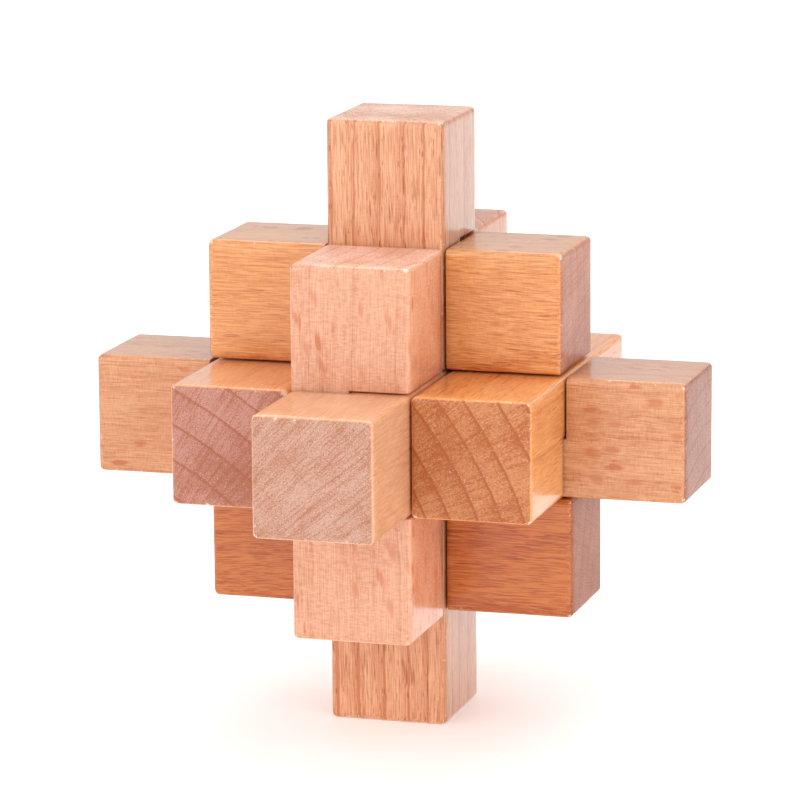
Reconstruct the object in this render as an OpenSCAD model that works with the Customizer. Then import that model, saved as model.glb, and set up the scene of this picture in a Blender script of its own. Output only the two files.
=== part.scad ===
// Nine-bar burr puzzle: a stepped diamond of square wooden bars that lock one another.
//
// The bars lie on a square lattice. Three long bars cross at its centre, one along each axis.
// Two short bars lie either side of each long bar, so each axis has three bars in a plane.
// Every crossing is a half lap: each of the two bars gives up half of its thickness there.
// The upper short bar is the key. It alone can move first, straight up by half a bar.
//
// +X is right, +Y is back and +Z is up. The origin is the middle of the foot, which is the
// lower end of the upright bar.

/* [Lattice] */
// Distance between the middles of neighbouring bars, mm
pitch = 15; // [10:0.5:30]
// Gap left on every face so that the bars slide, mm
play = 0.1; // [0.05:0.05:0.25]

/* [Bars] */
// Radius of the eased edges, mm
ease = 0.65; // [0.3:0.05:1]
// Extra length of the upright bar at its [lower, upper] end, mm
upright_ends = [-0.4, 0.5]; // [-1:0.1:1]
// Extra length of the cross bar at its [left, right] end, mm
cross_ends = [0, 0]; // [-1:0.1:1]
// Extra length of the depth bar at its [front, back] end, mm
depth_ends = [0, 0]; // [-1:0.1:1]
// Extra length of the key bar at its [left, right] end, mm
key_ends = [0.3, -0.3]; // [-1:0.1:1]
// Extra length of the lower bar at its [left, right] end, mm
lower_ends = [0.2, 1]; // [-1:0.1:1]
// Extra length of the left bar at its [front, back] end, mm
left_ends = [0.4, 0.1]; // [-1:0.1:1]
// Extra length of the right bar at its [front, back] end, mm
right_ends = [0.4, 0.1]; // [-1:0.1:1]
// Extra length of the front bar at its [lower, upper] end, mm
front_ends = [0.8, 0.2]; // [-1:0.1:1]
// Extra length of the back bar at its [lower, upper] end, mm
back_ends = [0.2, 0.3]; // [-1:0.1:1]

/* [Hidden] */
// Half a pitch is the lattice unit: a bar is two units thick and half of it is one unit
unit = pitch / 2;
thick = pitch - 2 * play;
// From the lattice's centre to a nominal bar's end: long bars span five bars, short ones three
long_reach = 5 * unit - play;
short_reach = 3 * unit - play;
// Height of the lattice's centre above the foot
centre_h = long_reach + upright_ends[0];
// Sides of the arcs, where they are drawn as polygons
$fn = 48;

// Rectangle with rounded corners, centred, and carried to thickness t
module rounded_plate(w, h, t) {
    linear_extrude(t, center = true) {
        square([w - 2 * ease, h], center = true);
        square([w, h - 2 * ease], center = true);
        for (sx = [-1, 1], sy = [-1, 1])
            translate([sx * (w / 2 - ease), sy * (h / 2 - ease)]) circle(ease);
    }
}

// Uncut square bar along X with every edge eased, from -reach[0] to reach[1]
module blank(reach) {
    length = reach[0] + reach[1];
    translate([(reach[1] - reach[0]) / 2, 0, 0]) intersection() {
        rounded_plate(length, thick, thick);
        rotate([90, 0, 0]) rounded_plate(length, thick, thick);
        rotate([90, 0, 90]) rounded_plate(thick, thick, length);
    }
}

// Space between lattice planes x, y and z, in units, with the play added on every side
module lap(x, y, z) {
    low = [x[0], y[0], z[0]] * unit;
    high = [x[1], y[1], z[1]] * unit;
    grow = [play, play, play];
    translate(low - grow) cube(high - low + 2 * grow);
}

// Long bar along X: a lap three bars wide in its top, and one bar wide in its front face
module long_bar(extra) {
    difference() {
        blank([long_reach, long_reach] + extra);
        lap([-3, 3], [-1, 1], [0, 1]);
        lap([-1, 1], [-1, 0], [-1, 1]);
    }
}

// Short bar along X with one lap in the middle of its front face
module short_bar(extra) {
    difference() {
        blank([short_reach, short_reach] + extra);
        lap([-1, 1], [-1, 0], [-1, 1]);
    }
}

// The three ways that a bar lies. The same turns carry a bar's laps to their places:
// lengthways turns +X to the front, and upright turns +X down.
module crossways(level) translate([0, 0, centre_h]) translate([0, 0, level * pitch]) children();
module lengthways(level) translate([0, 0, centre_h]) rotate([90, 0, -90])
    translate([0, 0, level * pitch]) children();
module upright(level) translate([0, 0, centre_h]) rotate([0, 90, 90])
    translate([0, 0, level * pitch]) children();
function turned(ends) = [ends[1], ends[0]];

// Vertical long bar, which is the foot and the top of the diamond
module upright_bar() color("#e3a377") upright(0) long_bar(turned(upright_ends));
// Horizontal long bar from left to right
module cross_bar() color("#dfa071") crossways(0) long_bar(cross_ends);
// Horizontal long bar from front to back, last to come off the cross bar
module depth_bar() color("#cfa285") lengthways(0) long_bar(turned(depth_ends));

// Upper short bar, the key: the top of its middle is cut away too, so that it can rise by
// one unit before it meets the upright bar's shoulder
module key_bar() color("#dd9660") crossways(1) difference() {
    short_bar(key_ends);
    lap([-1, 1], [-1, 1], [0, 1]);
}
// Short bar below the cross bar
module lower_bar() color("#c9733f") crossways(-1) short_bar(lower_ends);
// Short bars either side of the depth bar, which drop over the cross bar
module left_bar() color("#b5806b") lengthways(1) short_bar(turned(left_ends));
module right_bar() color("#cd8a5b") lengthways(-1) short_bar(turned(right_ends));
// Short bars in front of and behind the upright bar, locked in place by the side bars
module front_bar() color("#e2a684") upright(-1) short_bar(turned(front_ends));
module back_bar() color("#dba283") upright(1) short_bar(turned(back_ends));

upright_bar();
cross_bar();
depth_bar();
key_bar();
lower_bar();
left_bar();
right_bar();
front_bar();
back_bar();
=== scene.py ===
"""Nine-bar burr puzzle in lacquered beech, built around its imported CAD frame.

Each bar is cut from lattice cells, eased along its edges and given solid wood: the rings,
rays and fibres run through the bar, so every face shows its own cut of the same grain.
"""
import itertools
import math

import bmesh
import bpy
from mathutils import Euler, Matrix, Vector, noise


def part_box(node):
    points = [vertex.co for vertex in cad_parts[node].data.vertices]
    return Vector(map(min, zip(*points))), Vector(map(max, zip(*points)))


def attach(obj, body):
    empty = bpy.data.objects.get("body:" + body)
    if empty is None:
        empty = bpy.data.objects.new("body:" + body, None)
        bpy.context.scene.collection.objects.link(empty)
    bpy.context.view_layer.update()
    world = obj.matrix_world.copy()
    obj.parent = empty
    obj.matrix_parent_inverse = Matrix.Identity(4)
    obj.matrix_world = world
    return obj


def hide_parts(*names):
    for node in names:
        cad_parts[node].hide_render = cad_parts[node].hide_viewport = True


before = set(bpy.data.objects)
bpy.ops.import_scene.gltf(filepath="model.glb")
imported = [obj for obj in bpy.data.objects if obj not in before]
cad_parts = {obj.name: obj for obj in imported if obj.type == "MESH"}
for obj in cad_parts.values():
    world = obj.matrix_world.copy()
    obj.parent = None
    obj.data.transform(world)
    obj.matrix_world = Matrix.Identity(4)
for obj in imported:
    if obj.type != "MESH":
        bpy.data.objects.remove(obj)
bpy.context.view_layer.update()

bl_info = {
    "name": "Burr Puzzle",
    "version": (1, 0, 0),
    "blender": (4, 5, 0),
    "location": "View3D > Sidebar > Burr Puzzle",
    "description": "Builds a nine-bar beech burr puzzle and the studio it stands in",
    "category": "Add Mesh",
}

MM = 0.001


def middle(node):
    """Middle of a CAD node's box, in metres."""
    low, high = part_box(node)
    return (Vector(low) + Vector(high)) / 2


# The lattice, read from the frame. Neighbouring bars are two units apart.
UNIT = (middle("key_bar").z - middle("lower_bar").z) / 4
CENTRE = Vector((0, 0, middle("cross_bar").z))
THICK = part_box("key_bar")[1][2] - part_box("key_bar")[0][2]

# How a bar lies: the turn that carries a bar built along X to its place.
CROSSWAYS = Euler((0, 0, 0))
LENGTHWAYS = Euler((math.pi / 2, 0, -math.pi / 2))
UPRIGHT = Euler((0, math.pi / 2, math.pi / 2))

# Which laps a bar has, as lattice cells along, across and up the bar: [low, high] in units.
FRONT_LAP = ((-1, 1), (-1, 0), (-1, 1))
LONG_LAP = ((-3, 3), (-1, 1), (0, 1))
KEY_LAP = ((-1, 1), (-1, 1), (0, 1))


class Bar:
    """One bar: the CAD body it rides on, how it lies, its laps, and how its wood was cut.

    pith is where the tree's centre lies in the bar's own cross-section, in millimetres from
    the bar's middle. It settles which faces show rings, which show rays end on and which
    show them along. rings is the rings' spacing in millimetres.

    look says how strongly each thing shows, 0 for not at all: on the sides bands (growth
    rings), grain (fine lines), dashes (rays cut across), weave (faint cross lines) and
    flecks, and on the ends end_bands and end_rays. Its last entry is painted light: a factor
    that brightens or darkens the bar's two faces across, standing in for the light on them.
    """

    def __init__(self, body, turn, laps, pith, rings, seed, **look):
        self.body, self.turn, self.laps = body, turn, laps
        self.pith, self.rings, self.seed = pith, rings, seed
        self.look = look


# The last entry of each look is painted light: it brightens or darkens the faces across the bar
BARS = {
    "upright_bar": Bar("core", UPRIGHT, (LONG_LAP, FRONT_LAP), (60, 50), 2.2, 1,
                       bands=1.4, grain=0.9, dashes=1.35, weave=0.35, flecks=0.0,
                       end_bands=0.2, end_rays=0.3, cheek=0.92),
    "cross_bar": Bar("core", CROSSWAYS, (LONG_LAP, FRONT_LAP), (9, -58), 2.6, 2,
                     bands=0.25, grain=0.65, dashes=0.2, weave=0.8, flecks=1.3,
                     end_bands=0.4, end_rays=0.5, cheek=0.92),
    "depth_bar": Bar("core", LENGTHWAYS, (LONG_LAP, FRONT_LAP), (-39, 46), 3.6, 3,
                     bands=0.1, grain=0.45, dashes=0.2, weave=0.5, flecks=0.2,
                     end_bands=0.1, end_rays=0.75, cheek=1.1),
    "key_bar": Bar("key", CROSSWAYS, (FRONT_LAP, KEY_LAP), (60, 10), 3.1, 4,
                   bands=0.4, grain=0.85, dashes=0.9, weave=0.4, flecks=0.1,
                   end_bands=0.3, end_rays=0.5, cheek=1.0),
    "lower_bar": Bar("core", CROSSWAYS, (FRONT_LAP,), (52, -16), 2.9, 5,
                     bands=0.8, grain=1.5, dashes=1.3, weave=0.3, flecks=0.1,
                     end_bands=0.5, end_rays=0.5, cheek=1.0),
    "left_bar": Bar("left_side", LENGTHWAYS, (FRONT_LAP,), (-49, 34), 4.0, 6,
                    bands=0.3, grain=0.6, dashes=0.4, weave=0.3, flecks=0.2,
                    end_bands=0.6, end_rays=0.7, cheek=1.0),
    "right_bar": Bar("right_side", LENGTHWAYS, (FRONT_LAP,), (-18.4, 35.5), 3.0, 7,
                     bands=0.3, grain=0.7, dashes=0.7, weave=0.2, flecks=0.2,
                     end_bands=1.6, end_rays=0.8, cheek=1.1),
    "front_bar": Bar("core", UPRIGHT, (FRONT_LAP,), (64, 8), 2.6, 8,
                     bands=0.2, grain=0.5, dashes=0.2, weave=1.0, flecks=1.0,
                     end_bands=0.4, end_rays=0.5, cheek=1.25),
    "back_bar": Bar("core", UPRIGHT, (FRONT_LAP,), (-50, 22), 3.2, 9,
                    bands=0.4, grain=0.8, dashes=0.7, weave=0.2, flecks=0.3,
                    end_bands=0.5, end_rays=0.5, cheek=1.0),
}


# Tints of the wood's features, which multiply a bar's own tone.
PALE = (1.16, 1.24, 1.32)
DARK = (0.80, 0.56, 0.38)
FLECK = (0.86, 0.53, 0.32)
# The last tint lightens and warms the eased edges: partly wear of the thin lacquer there, partly
# a painted highlight where the rounding catches the light
EDGE_WEAR_AND_HIGHLIGHT = (1.12, 1.0, 0.84)

# Colours laid over the wood: a painted glint, pale streaks where the cut rays on the ends catch
# the light, and bare wood in a nick.
PAINTED_GLINT = (0.95, 0.76, 0.60)
BARE = (0.98, 0.86, 0.76)

LACQUER_IOR = 1.5

# How far apart along the same tree the bars were cut, in millimetres, so none look alike.
CUT_APART = 137.0


# Properties

def tone(label, default):
    """A colour property for one cut of one bar's wood."""
    return bpy.props.FloatVectorProperty(
        name=label, description=f"Colour of the wood: {label.lower()}", default=default,
        subtype="COLOR", size=3, min=0, max=1)


class BurrSizes(bpy.types.PropertyGroup):
    """Sizes of the bars."""

    unit: bpy.props.FloatProperty(
        name="Lattice unit", description="Half the distance between neighbouring bars",
        default=UNIT, min=0.002, unit="LENGTH", precision=5)
    play: bpy.props.FloatProperty(
        name="Play", description="Gap left on each face so that the bars slide",
        default=UNIT - THICK / 2, min=0, unit="LENGTH", precision=5)
    ease: bpy.props.FloatProperty(
        name="Eased edge", description="Radius of the rounding along a blank's edges",
        default=0.65 * MM, min=0, unit="LENGTH", precision=5)
    lap_ease: bpy.props.FloatProperty(
        name="Lap edge", description="Width of the break along the sawn laps' edges",
        default=0.12 * MM, min=0, unit="LENGTH", precision=5)
    grid: bpy.props.FloatProperty(
        name="Grid", description="Size of the faces that the surfaces are divided into",
        default=1.6 * MM, min=0.0005, unit="LENGTH", precision=5)
    flat_wave: bpy.props.FloatProperty(
        name="Sanding wave", description="How far the sanded faces stray from flat",
        default=0.02 * MM, min=0, unit="LENGTH", precision=5)
    edge_wave: bpy.props.FloatProperty(
        name="Edge wave", description="How unevenly the edges were eased by hand",
        default=0.05 * MM, min=0, unit="LENGTH", precision=5)


class BurrTones(bpy.types.PropertyGroup):
    """Colours of each bar's wood, along the grain and on the end grain."""

    upright_bar_side: tone("Upright bar, sides", (0.61, 0.29, 0.15))
    upright_bar_end: tone("Upright bar, ends", (0.74, 0.47, 0.36))
    cross_bar_side: tone("Cross bar, sides", (0.60, 0.27, 0.12))
    cross_bar_end: tone("Cross bar, ends", (0.37, 0.17, 0.12))
    depth_bar_side: tone("Depth bar, sides", (0.75, 0.40, 0.22))
    depth_bar_end: tone("Depth bar, ends", (0.48, 0.27, 0.20))
    key_bar_side: tone("Key bar, sides", (0.65, 0.28, 0.09))
    key_bar_end: tone("Key bar, ends", (0.49, 0.22, 0.15))
    lower_bar_side: tone("Lower bar, sides", (0.47, 0.13, 0.02))
    lower_bar_end: tone("Lower bar, ends", (0.34, 0.11, 0.05))
    left_bar_side: tone("Left bar, sides", (0.80, 0.36, 0.16))
    left_bar_end: tone("Left bar, ends", (0.44, 0.20, 0.15))
    right_bar_side: tone("Right bar, sides", (0.77, 0.32, 0.10))
    right_bar_end: tone("Right bar, ends", (0.47, 0.18, 0.07))
    front_bar_side: tone("Front bar, sides", (0.61, 0.30, 0.18))
    front_bar_end: tone("Front bar, ends", (0.86, 0.52, 0.40))
    back_bar_side: tone("Back bar, sides", (0.64, 0.26, 0.12))
    back_bar_end: tone("Back bar, ends", (0.66, 0.38, 0.30))
    rays: tone("Rays, against the side", (0.57, 0.30, 0.13))


class BurrGrain(bpy.types.PropertyGroup):
    """Sizes of the wood's own detail, in millimetres of real beech."""

    ray_width: bpy.props.FloatProperty(
        name="Ray width", description="Width of a ray's dash across the grain, mm",
        default=0.22, min=0.05)
    ray_height: bpy.props.FloatProperty(
        name="Ray height", description="Length of a ray's dash along the grain, mm",
        default=3.6, min=0.2)
    ray_depth: bpy.props.FloatProperty(
        name="Ray depth", description="How far a ray runs towards the tree's centre, mm",
        default=6, min=0.5)
    fibre_width: bpy.props.FloatProperty(
        name="Fibre width", description="Width of the finest lines along the grain, mm",
        default=0.13, min=0.03)
    fibre_length: bpy.props.FloatProperty(
        name="Fibre length", description="Length of the finest lines along the grain, mm",
        default=3.6, min=0.1)


class BurrStage(bpy.types.PropertyGroup):
    """The studio: camera, floor and light."""

    azimuth: bpy.props.FloatProperty(
        name="Azimuth", description="How far right of straight ahead the camera stands",
        default=math.radians(16.6), subtype="ANGLE")
    elevation: bpy.props.FloatProperty(
        name="Elevation", description="How far above the puzzle's centre the camera stands",
        default=math.radians(11.85), subtype="ANGLE")
    distance: bpy.props.FloatProperty(
        name="Distance", description="From the puzzle's centre to the camera",
        default=0.5534, min=0.1, unit="LENGTH")
    roll: bpy.props.FloatProperty(
        name="Roll", description="How far the camera leans to its side",
        default=math.radians(0.4), subtype="ANGLE")
    lens: bpy.props.FloatProperty(
        name="Lens", description="Focal length, mm, for a sensor 36 mm wide",
        default=201.9, min=10)
    aim: bpy.props.FloatVectorProperty(
        name="Aim", description="Where the camera points, from the puzzle's centre",
        default=(-0.5 * MM, 0.3 * MM, 2.0 * MM), subtype="TRANSLATION", size=3, precision=5)
    floor: bpy.props.FloatVectorProperty(
        name="Floor", description="Colour of the floor", default=(0.97, 0.97, 0.97),
        subtype="COLOR", size=3, min=0, max=1)
    glow: bpy.props.FloatProperty(
        name="Glow", description="Light that the floor gives off, which keeps shadows faint",
        default=0.2, min=0)
    room: bpy.props.FloatProperty(
        name="Room", description="Strength of the white light from all round",
        default=0.72, min=0)


# Shaders

class Value:
    """A shader socket that takes part in sums. An expression adds its Math nodes."""

    def __init__(self, wood, socket):
        self.wood, self.socket = wood, socket

    def maths(self, operation, *terms):
        return self.wood.node("ShaderNodeMath", {"operation": operation}, *terms)[0]

    def __add__(self, other):
        return self.maths("ADD", self, other)

    def __radd__(self, other):
        return self.maths("ADD", other, self)

    def __sub__(self, other):
        return self.maths("SUBTRACT", self, other)

    def __rsub__(self, other):
        return self.maths("SUBTRACT", other, self)

    def __mul__(self, other):
        return self.maths("MULTIPLY", self, other)

    def __rmul__(self, other):
        return self.maths("MULTIPLY", other, self)

    def __truediv__(self, other):
        return self.maths("DIVIDE", self, other)

    def __rtruediv__(self, other):
        return self.maths("DIVIDE", other, self)

    def __pow__(self, other):
        return self.maths("POWER", self, other)

    def __abs__(self):
        return self.maths("ABSOLUTE", self)

    def least(self, other):
        return self.maths("MINIMUM", self, other)

    def most(self, other):
        return self.maths("MAXIMUM", self, other)

    def fade(self, start, end):
        """0 at start and 1 at end, eased at both. start may be the higher of the two."""
        settings = {"interpolation_type": "SMOOTHSTEP", "clamp": True}
        return self.wood.node("ShaderNodeMapRange", settings,
                              Value=self, From_Min=start, From_Max=end)[0]


class Wood:
    """A material's node tree, and the few kinds of step that the wood is made from."""

    def __init__(self, name):
        self.material = bpy.data.materials.new(name)
        self.material.use_nodes = True
        self.tree = self.material.node_tree
        self.tree.nodes.clear()

    def node(self, kind, settings=None, *values, **named):
        """Adds a node, sets it up, then fills its sockets: those in use by their order, and
        others by name. Returns its outputs as Values."""
        made = self.tree.nodes.new(kind)
        for key, setting in (settings or {}).items():
            setattr(made, key, setting)
        filled = list(zip((socket for socket in made.inputs if socket.enabled), values))
        filled += [(made.inputs[key.replace("_", " ")], value) for key, value in named.items()]
        for socket, value in filled:
            if isinstance(value, Value):
                self.tree.links.new(value.socket, socket)
            else:
                socket.default_value = value
        return [Value(self, output) for output in made.outputs if output.enabled]

    def vector(self, x, y, z):
        return self.node("ShaderNodeCombineXYZ", None, x, y, z)[0]

    def parts(self, vector):
        return self.node("ShaderNodeSeparateXYZ", None, vector)

    def cloud(self, vector, detail=2.0, roughness=0.5):
        """Soft noise from 0 to 1, centred on a half."""
        return self.node("ShaderNodeTexNoise", {"noise_dimensions": "3D"}, Vector=vector,
                         Scale=1.0, Detail=detail, Roughness=roughness)[0]

    def threads(self, place, length, width, detail=2.0, roughness=0.5):
        """Soft noise in a place along, across and up the bar, drawn out along the bar. Its
        marks are about length long and width wide, in millimetres."""
        along, across, up = place
        return self.cloud(self.vector(along / length, across / width, up / width),
                          detail, roughness)

    def spindles(self, vector, share, size, core, ragged=0):
        """Scattered spindles, one to a cell of the vector's space. Share is the part of the
        cells that hold one, size is its half width in cells, core is the part of it that is
        solid, and ragged moves its outline. 1 inside, 0 outside."""
        distance, colour = self.node(
            "ShaderNodeTexVoronoi", {"voronoi_dimensions": "3D", "feature": "F1"},
            Vector=vector, Scale=1.0, Randomness=0.9)[:2]
        chance, strength, _ = self.parts(colour)
        shown = chance.fade(1 - share - 0.02, 1 - share + 0.02)
        return shown * (distance + ragged).fade(size, size * core) * (strength * 0.6 + 0.4)

    def blend(self, factor, first, second, mode="MIX"):
        """One colour going over to another. A plain colour is three numbers."""
        colours = [colour if isinstance(colour, Value) else (*colour, 1.0)
                   for colour in (first, second)]
        settings = {"data_type": "RGBA", "blend_type": mode, "clamp_factor": True}
        return self.node("ShaderNodeMix", settings, factor, *colours)[0]

    def tint(self, colour, amounts):
        """A colour with its red, green and blue each multiplied."""
        return self.blend(1.0, colour, amounts, "MULTIPLY")


def bar_place(wood, bar, centre):
    """Where a point is along, across and up its bar, in millimetres from the centre. Then
    how far the surface there faces along the bar, and how far across it, from 0 to 1."""
    coords = wood.node("ShaderNodeTexCoord")
    by_name = {output.socket.name: output for output in coords}
    local = wood.node("ShaderNodeMapping", {"vector_type": "TEXTURE"},
                      Vector=by_name["Object"], Location=centre, Rotation=bar.turn,
                      Scale=(MM, MM, MM))[0]
    facing = []
    for axis in ((1, 0, 0), (0, 1, 0)):
        dot = wood.node("ShaderNodeVectorMath", {"operation": "DOT_PRODUCT"},
                        by_name["Normal"], bar.turn.to_matrix() @ Vector(axis))[-1]
        facing.append(abs(dot))
    return wood.parts(local), facing


def tree_place(wood, bar, across, up):
    """How far a point is from the tree's centre, and how far round it, in millimetres."""
    from_pith = across - bar.pith[0], up - bar.pith[1]
    radius = (from_pith[0] ** 2 + from_pith[1] ** 2) ** 0.5
    angle = wood.node("ShaderNodeMath", {"operation": "ARCTAN2"},
                      from_pith[1], from_pith[0])[0]
    # The arc is measured from the pith's own side, so that it never jumps within the bar
    start = math.atan2(-bar.pith[1], -bar.pith[0])
    turned = wood.node("ShaderNodeMath", {"operation": "WRAP"}, angle - start,
                       math.pi, -math.pi)[0]
    return radius, turned * math.hypot(*bar.pith)


def growth_rings(wood, bar, radius):
    """The late wood, which darkens slowly over each ring, and the thin line that ends it."""
    pace = wood.cloud(wood.vector(radius / (bar.rings * 2.3), bar.seed * 3.0, 0.0), detail=0.0)
    cycle = wood.node("ShaderNodeMath", {"operation": "FRACT"},
                      radius / bar.rings + pace * 0.9 + 20)[0]
    late = cycle.fade(0.35, 0.97) * cycle.fade(1.0, 0.98)
    line = cycle.fade(0.86, 0.95) * cycle.fade(1.0, 0.96)
    return late, line


def worn_and_lit_edges(place, length):
    """Closeness to the bar's outer edges, where it is near two faces at once, and to its
    corners, where it is near three. 1 at the edge, 0 well before a rim's width in."""
    rim = 0.9
    halves = length / 2, THICK / MM / 2, THICK / MM / 2
    near = [abs(part) - (half - rim) for part, half in zip(place, halves)]
    pairs = [first.least(second) for first, second in itertools.combinations(near, 2)]
    edge = pairs[0].most(pairs[1]).most(pairs[2])
    corner = near[0].least(near[1]).least(near[2])
    return (edge / rim).fade(0.25, 0.85), (corner / rim).fade(0.0, 0.5)


def beech(name, bar, tones, grain):
    """Solid lacquered beech for one bar, with its grain along the bar's own X."""
    wood = Wood(f"{name}_beech")
    look = bar.look
    low, high = (Vector(corner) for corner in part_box(name))
    (along, across, up), (end_facing, cheek_facing) = bar_place(wood, bar, (low + high) / 2)
    end = end_facing.fade(0.55, 0.85)
    side = 1 - end
    cheek = cheek_facing.fade(0.4, 0.9)
    edge, corner = worn_and_lit_edges((along, across, up), max(high - low) / MM)

    # The grain isn't quite straight: it sways over the bar's length and wavers close up
    along = along + bar.seed * CUT_APART
    straight = along, across, up
    sway = wood.threads(straight, length=34, width=22, detail=0.0) - 0.5
    waver = wood.threads(straight, length=5, width=2.6, detail=1.0) - 0.5
    y = across + sway * 2.0 + waver * 0.3
    z = up - sway * 1.4 + waver * 0.3
    place = along, y, z
    radius, arc = tree_place(wood, bar, y, z)
    late, line = growth_rings(wood, bar, radius)

    # Rays: thin sheets that run from the centre outwards. Cut across they are dashes, cut
    # along they are flecks, and on the ends they are lines across the rings.
    bold = wood.spindles(
        wood.vector(arc / grain.ray_width, along / grain.ray_height, radius / grain.ray_depth),
        share=0.3, size=0.46, core=0.3)
    fine = wood.spindles(
        wood.vector(arc / (grain.ray_width * 0.7), along / (grain.ray_height * 0.4),
                    radius / (grain.ray_depth * 0.4)),
        share=0.4, size=0.44, core=0.3)
    sheet = wood.cloud(wood.vector(arc / 0.42, radius / 9, along / 9), detail=1.0)
    hair = wood.cloud(wood.vector(arc / 0.17, radius / 2.2, along / 2), detail=1.0)
    end_ray = sheet.fade(0.48, 0.64) * 0.6 + hair.fade(0.52, 0.68) * 0.6
    # Painted glint: pale streaks on the ends where the cut rays catch the light
    gleam = wood.cloud(wood.vector(along / 1.5, arc / 0.12, radius / 0.3), detail=0.0)

    # Fibres and streaks run with the grain, the weft lies across it, and pores are the
    # specks where it ends
    fibre = wood.threads(place, grain.fibre_length, grain.fibre_width,
                         detail=1.0, roughness=0.6)
    streak = wood.threads(place, length=26, width=0.3)
    weft = wood.threads(place, length=0.22, width=0.8, detail=1.0)
    patch = wood.threads(place, length=16, width=6)
    pore = wood.threads(place, length=1.5, width=0.16, roughness=0.7)

    # Reddish flecks lie aslant, with ragged outlines
    fleck = wood.spindles(
        wood.vector((along + y * 1.1) / 2.5, (y + z) / 3.2, (y - z) / 1.7),
        share=0.3, size=0.45, core=0.3, ragged=(streak - 0.5) * 1.1 + (weft - 0.5) * 0.5)

    # Small nicks in the lacquer along the edges, more of them at the corners
    nick = wood.threads(straight, length=0.8, width=0.8, detail=3.0, roughness=0.7)
    nick = (nick + corner * 0.12).fade(0.62, 0.67) * edge

    # From pale to dark, round each bar's own tone
    plain = 0.34
    cloudy = (patch - 0.5) * 0.8
    streaked = (streak - 0.5) * 0.8
    broken = streak.fade(0.34, 0.60) * side + end
    bands = look["bands"] * side + look["end_bands"] * end
    ringed = bands * (late * 0.2 + line * broken * 1.1)
    lined = ((0.5 - fibre) * 2.7 + streaked) * look["grain"] + (weft - 0.5) * 1.1 * look["weave"]
    speckled = (0.5 - pore) * 3.2 + end_ray * look["end_rays"] * 0.7 + cloudy + streaked
    depth = plain + cloudy + ringed + lined * side + speckled * end

    ground = wood.blend(end, getattr(tones, f"{name}_side"), getattr(tones, f"{name}_end"))
    # Painted light: the faces across the bar are brightened or darkened by the bar's side
    # factor, for the light that falls on them
    ground = wood.blend(cheek, ground, wood.tint(ground, (look["cheek"],) * 3))
    colour = wood.blend(depth, wood.tint(ground, PALE), wood.tint(ground, DARK))
    colour = wood.blend(fleck * look["flecks"] * side, colour, wood.tint(ground, FLECK))
    ray = wood.tint(ground, tones.rays)
    crowd = (0.3 + patch * 0.6 + late * 0.4 + line * 0.6) * look["dashes"]
    colour = wood.blend(fine * crowd * (0.85 - end * 0.55), colour, ray)
    colour = wood.blend(bold * crowd * (1.1 - end * 0.6), colour, ray)
    # Painted glint on the ends, pale where the cut rays catch the light
    colour = wood.blend(gleam.fade(0.64, 0.80) * end * 0.16, colour, PAINTED_GLINT)
    # Lighter, warmer eased edges: partly wear of the lacquer, partly a painted highlight where
    # the rounding catches the light
    colour = wood.blend(edge * 0.3, colour, wood.tint(colour, EDGE_WEAR_AND_HIGHLIGHT))
    colour = wood.blend(nick * 0.7, colour, BARE)

    # Clear lacquer, which the end grain drinks in
    roughness = 0.40 + end * 0.14 + (fibre - 0.5) * 0.2 + bold * 0.1 + nick * 0.2
    coat = 1 - end * 0.7 - nick * 0.3
    height = ((fibre - 0.5) * 0.8 - bold * 0.5 - fine * 0.3) * side
    height = height + ((pore - 0.5) * 1.4 - line * 0.2) * end - nick * 0.5
    bump = wood.node("ShaderNodeBump", None, Strength=0.5, Distance=0.06 * MM,
                     Height=height)[0]
    shader = wood.node("ShaderNodeBsdfPrincipled", None, Base_Color=colour,
                       Roughness=roughness, IOR=LACQUER_IOR, Specular_IOR_Level=0.15,
                       Coat_Weight=coat, Coat_Roughness=0.2, Coat_IOR=LACQUER_IOR,
                       Normal=bump)[0]
    wood.node("ShaderNodeOutputMaterial", None, Surface=shader)
    return wood.material


# Shapes

# Planes and corners nearer than this count as one.
CLOSE = 0.01 * MM

# Edges that turn more than SAWN get their sharpness broken, and those that turn more than
# CREASE are shaded as edges, not as part of one curved surface.
SAWN = math.radians(50)
CREASE = math.radians(60)


def cells(reach, laps, sizes):
    """The blocks of a bar along X that its laps leave, as pairs of corners."""
    unit, play = sizes.unit, sizes.play
    outside = unit - play
    cuts = [{-reach[0], reach[1]}, {-outside, outside}, {-outside, outside}]
    spaces = [[(low * unit - play, high * unit + play) for low, high in lap] for lap in laps]
    for lap in spaces:
        for cut, (low, high) in zip(cuts, lap):
            cut |= {plane for plane in (low, high) if min(cut) < plane < max(cut)}
    steps = [list(zip(sorted(cut), sorted(cut)[1:])) for cut in cuts]
    for block in itertools.product(*steps):
        mid = [(low + high) / 2 for low, high in block]
        cut_away = any(all(low < m < high for m, (low, high) in zip(mid, lap)) for lap in spaces)
        if not cut_away:
            yield block


def join_cells(blocks):
    """One closed shell from blocks that touch face to face."""
    bm = bmesh.new()
    for block in blocks:
        size = [high - low for low, high in block]
        mid = [(low + high) / 2 for low, high in block]
        place = Matrix.Translation(mid) @ Matrix.Diagonal((*size, 1))
        bmesh.ops.create_cube(bm, size=1, matrix=place)
    walls = {}
    for face in bm.faces:
        key = tuple(round(value / CLOSE) for value in face.calc_center_median())
        walls.setdefault(key, []).append(face)
    shared = [face for faces in walls.values() if len(faces) > 1 for face in faces]
    bmesh.ops.delete(bm, geom=shared, context="FACES")
    bmesh.ops.remove_doubles(bm, verts=bm.verts, dist=CLOSE / 10)
    bmesh.ops.dissolve_limit(bm, angle_limit=0.01, verts=bm.verts, edges=bm.edges)
    return bm


def on_blank(edge, limits):
    """Whether an edge is one of the sawn blank's own twelve."""
    ends = [vert.co for vert in edge.verts]
    flush = [any(all(abs(co[axis] - limit) < CLOSE for co in ends) for limit in pair)
             for axis, pair in enumerate(limits)]
    return sum(flush) >= 2


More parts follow.
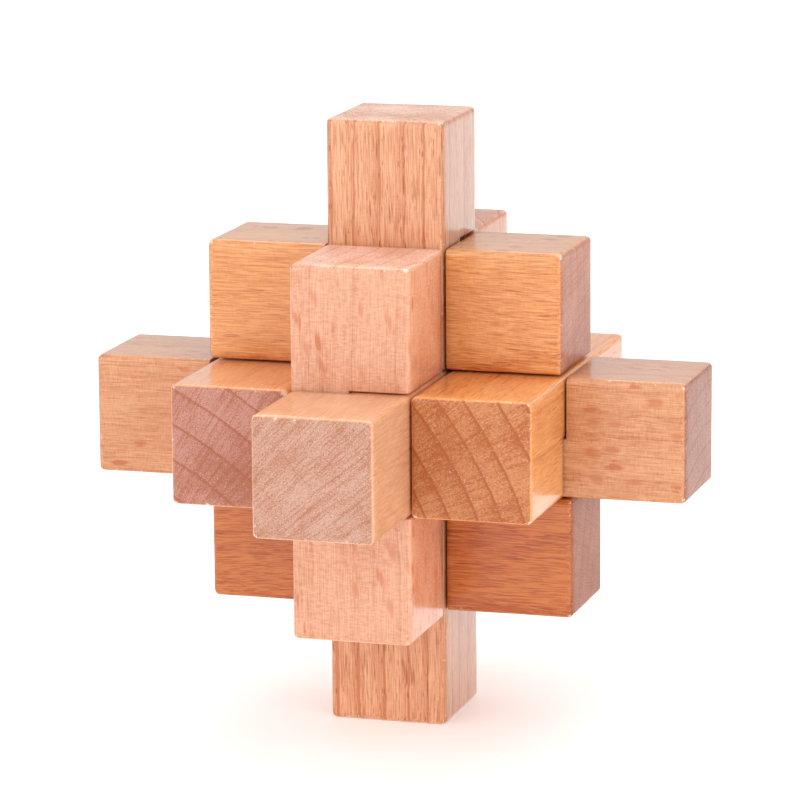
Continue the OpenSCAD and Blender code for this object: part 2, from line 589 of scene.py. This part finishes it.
def ease_edges(bm, reach, sizes):
    """Rounds the blank's edges well, and only breaks the sharp edges of the sawn laps."""
    outside = sizes.unit - sizes.play
    limits = ((-reach[0], reach[1]), (-outside, outside), (-outside, outside))
    blank = [edge for edge in bm.edges if on_blank(edge, limits)]
    bmesh.ops.bevel(bm, geom=blank, affect="EDGES", offset=sizes.ease, offset_type="OFFSET",
                    segments=4, profile=0.5, clamp_overlap=True, material=-1)
    sharp = [edge for edge in bm.edges
             if edge.is_convex and edge.calc_face_angle(0) > SAWN]
    bmesh.ops.bevel(bm, geom=sharp, affect="EDGES", offset=sizes.lap_ease,
                    offset_type="OFFSET", segments=2, profile=0.5, clamp_overlap=True,
                    material=-1)
    for edge in bm.edges:
        edge.smooth = edge.calc_face_angle(0) < CREASE


def lattice_box(reach, sizes):
    """A bar's limits on each axis, out to the middle of the gap round it."""
    return (-reach[0], reach[1]), (-sizes.unit, sizes.unit), (-sizes.unit, sizes.unit)


def divide(bm, reach, sizes):
    """Cuts the surfaces into a grid, with a line close beside each rounding."""
    margin = sizes.ease * 1.2 + sizes.play
    for axis, (low, high) in enumerate(lattice_box(reach, sizes)):
        first, last = low + margin, high - margin
        count = round((last - first) / sizes.grid)
        normal = Vector([float(i == axis) for i in range(3)])
        for step in range(count + 1):
            plane = normal * (first + (last - first) * step / count)
            geometry = [*bm.verts, *bm.edges, *bm.faces]
            bmesh.ops.bisect_plane(bm, geom=geometry, dist=CLOSE / 5, plane_co=plane,
                                   plane_no=normal)


def weather(bm, reach, sizes, seed):
    """Lets the sanded faces stray a little inwards in long waves, and the hand-eased edges
    a little more in short ones."""
    long_wave, short_wave = 9 * MM, 2.4 * MM
    offset = Vector((seed * 17.3, seed * 5.1, seed * 2.7))
    limits = lattice_box(reach, sizes)
    bm.normal_update()
    moves = []
    for vert in bm.verts:
        near = sorted(min(value - low, high - value)
                      for value, (low, high) in zip(vert.co, limits))
        on_edge = near[1] < sizes.ease * 1.1 + sizes.play
        slow = noise.noise(vert.co / long_wave + offset)
        quick = noise.noise(vert.co / short_wave + offset)
        depth = sizes.flat_wave * (0.5 + 0.5 * slow)
        if on_edge:
            depth += sizes.edge_wave * (0.5 + 0.5 * quick)
        moves.append((vert, vert.normal * depth))
    for vert, move in moves:
        vert.co -= move


def make_bar(name, scene):
    """Builds one bar in place of its CAD node."""
    bar, sizes = BARS[name], scene.burr_sizes
    turn = bar.turn.to_matrix()
    low, high = (turn.transposed() @ (Vector(corner) - CENTRE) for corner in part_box(name))
    ends = sorted((low.x, high.x))
    reach = (-ends[0], ends[1])
    # How far the bar lies from the puzzle's centre line, across and up
    level = Vector((0, (low.y + high.y) / 2, (low.z + high.z) / 2))
    bm = join_cells(cells(reach, bar.laps, sizes))
    ease_edges(bm, reach, sizes)
    divide(bm, reach, sizes)
    weather(bm, reach, sizes, bar.seed)
    for face in bm.faces:
        face.smooth = True
    place = Matrix.Translation(CENTRE) @ turn.to_4x4() @ Matrix.Translation(level)
    bmesh.ops.transform(bm, matrix=place, verts=bm.verts)
    mesh = bpy.data.meshes.new(f"{name}_beech")
    bm.to_mesh(mesh)
    bm.free()
    piece = bpy.data.objects.new(f"{name}_beech", mesh)
    scene.collection.objects.link(piece)
    mesh.materials.append(beech(name, bar, scene.burr_tones, scene.burr_grain))
    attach(piece, bar.body)
    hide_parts(name)
    return piece


# Operators

class BURR_OT_long_bars(bpy.types.Operator):
    """Build the three long bars that cross at the centre"""

    bl_idname = "burr.long_bars"
    bl_label = "Long Bars"

    def execute(self, context):
        for name in ("upright_bar", "cross_bar", "depth_bar"):
            make_bar(name, context.scene)
        return {"FINISHED"}


class BURR_OT_short_bars(bpy.types.Operator):
    """Build the five short bars that lock the long ones"""

    bl_idname = "burr.short_bars"
    bl_label = "Short Bars"

    def execute(self, context):
        for name in ("lower_bar", "left_bar", "right_bar", "front_bar", "back_bar"):
            make_bar(name, context.scene)
        return {"FINISHED"}


class BURR_OT_key_bar(bpy.types.Operator):
    """Build the key, the short bar that rises first"""

    bl_idname = "burr.key_bar"
    bl_label = "Key Bar"

    def execute(self, context):
        make_bar("key_bar", context.scene)
        return {"FINISHED"}


class BURR_OT_stage(bpy.types.Operator):
    """Set up the pale floor, the soft studio light and the camera"""

    bl_idname = "burr.stage"
    bl_label = "Studio"

    def execute(self, context):
        scene, stage = context.scene, context.scene.burr_stage
        make_floor(scene, stage)
        make_light(scene, stage)
        make_camera(scene, stage)
        return {"FINISHED"}


def make_floor(scene, stage):
    """A wide, plain floor just under the foot."""
    bm = bmesh.new()
    bmesh.ops.create_circle(bm, cap_ends=True, segments=64, radius=6)
    mesh = bpy.data.meshes.new("floor")
    bm.to_mesh(mesh)
    bm.free()
    floor = bpy.data.objects.new("floor", mesh)
    scene.collection.objects.link(floor)
    paint = Wood("floor_paint")
    shader = paint.node("ShaderNodeBsdfPrincipled", None, Base_Color=(*stage.floor, 1),
                        Roughness=0.6, Emission_Color=(1, 1, 1, 1),
                        Emission_Strength=stage.glow)[0]
    paint.node("ShaderNodeOutputMaterial", None, Surface=shader)
    mesh.materials.append(paint.material)


def outwards(azimuth, elevation):
    """The direction from the puzzle to something that stands round it. 0 is in front."""
    level = math.cos(elevation)
    return Vector((math.sin(azimuth) * level, -math.cos(azimuth) * level, math.sin(elevation)))


def softbox(scene, name, azimuth, elevation, distance, size, power):
    """A square area light that faces the puzzle's centre. Angles are in degrees."""
    light = bpy.data.lights.new(name, "AREA")
    light.shape, light.size, light.energy = "SQUARE", size, power
    out = outwards(math.radians(azimuth), math.radians(elevation))
    lamp = bpy.data.objects.new(name, light)
    lamp.location = CENTRE + out * distance
    lamp.rotation_euler = out.to_track_quat("Z", "Y").to_euler()
    scene.collection.objects.link(lamp)


def make_light(scene, stage):
    """A white room, with soft lights on the left, on the right, behind and overhead."""
    world = bpy.data.worlds.new("white_room")
    world.use_nodes = True
    background = world.node_tree.nodes["Background"]
    background.inputs["Color"].default_value = (1, 1, 1, 1)
    background.inputs["Strength"].default_value = stage.room
    scene.world = world
    softbox(scene, "key_light", azimuth=-28, elevation=24, distance=1.1, size=1.0, power=5.0)
    softbox(scene, "fill_light", azimuth=50, elevation=12, distance=1.1, size=0.8, power=4.1)
    softbox(scene, "back_light", azimuth=180, elevation=50, distance=1.4, size=1.1, power=5.5)
    softbox(scene, "top_light", azimuth=0, elevation=80, distance=1.3, size=1.4, power=3.2)
    scene.view_settings.view_transform = "Standard"


def make_camera(scene, stage):
    """The camera, on the right and a little above, aimed just over the puzzle's centre."""
    data = bpy.data.cameras.new("camera")
    data.sensor_width, data.lens = 36, stage.lens
    data.clip_start, data.clip_end = 0.01, 50
    camera = bpy.data.objects.new("camera", data)
    camera.location = CENTRE + outwards(stage.azimuth, stage.elevation) * stage.distance
    look = (CENTRE + Vector(stage.aim) - camera.location).to_track_quat("-Z", "Y")
    camera.rotation_euler = (look.to_matrix() @ Matrix.Rotation(-stage.roll, 3, "Z")).to_euler()
    scene.collection.objects.link(camera)
    scene.camera = camera


class BURR_PT_panel(bpy.types.Panel):
    """Lists the steps that build the puzzle"""

    bl_idname = "BURR_PT_panel"
    bl_label = "Burr Puzzle"
    bl_space_type = "VIEW_3D"
    bl_region_type = "UI"
    bl_category = "Burr Puzzle"

    def draw(self, context):
        for step in STEPS:
            self.layout.operator(step.bl_idname)
        for name, group in GROUPS.items():
            for key in group.__annotations__:
                self.layout.prop(getattr(context.scene, name), key)


STEPS = (BURR_OT_long_bars, BURR_OT_short_bars, BURR_OT_key_bar, BURR_OT_stage)
GROUPS = {"burr_sizes": BurrSizes, "burr_tones": BurrTones, "burr_grain": BurrGrain,
          "burr_stage": BurrStage}


def register():
    for part in (*GROUPS.values(), *STEPS, BURR_PT_panel):
        bpy.utils.register_class(part)
    for name, group in GROUPS.items():
        setattr(bpy.types.Scene, name, bpy.props.PointerProperty(type=group))


def unregister():
    for name in GROUPS:
        delattr(bpy.types.Scene, name)
    for part in (BURR_PT_panel, *reversed(STEPS), *reversed(GROUPS.values())):
        bpy.utils.unregister_class(part)


def main():
    """Registers the add-on and builds the bars, the floor, the light and the camera."""
    register()
    bpy.ops.burr.long_bars()
    bpy.ops.burr.short_bars()
    bpy.ops.burr.key_bar()
    bpy.ops.burr.stage()


if __name__ == "__main__":
    main()
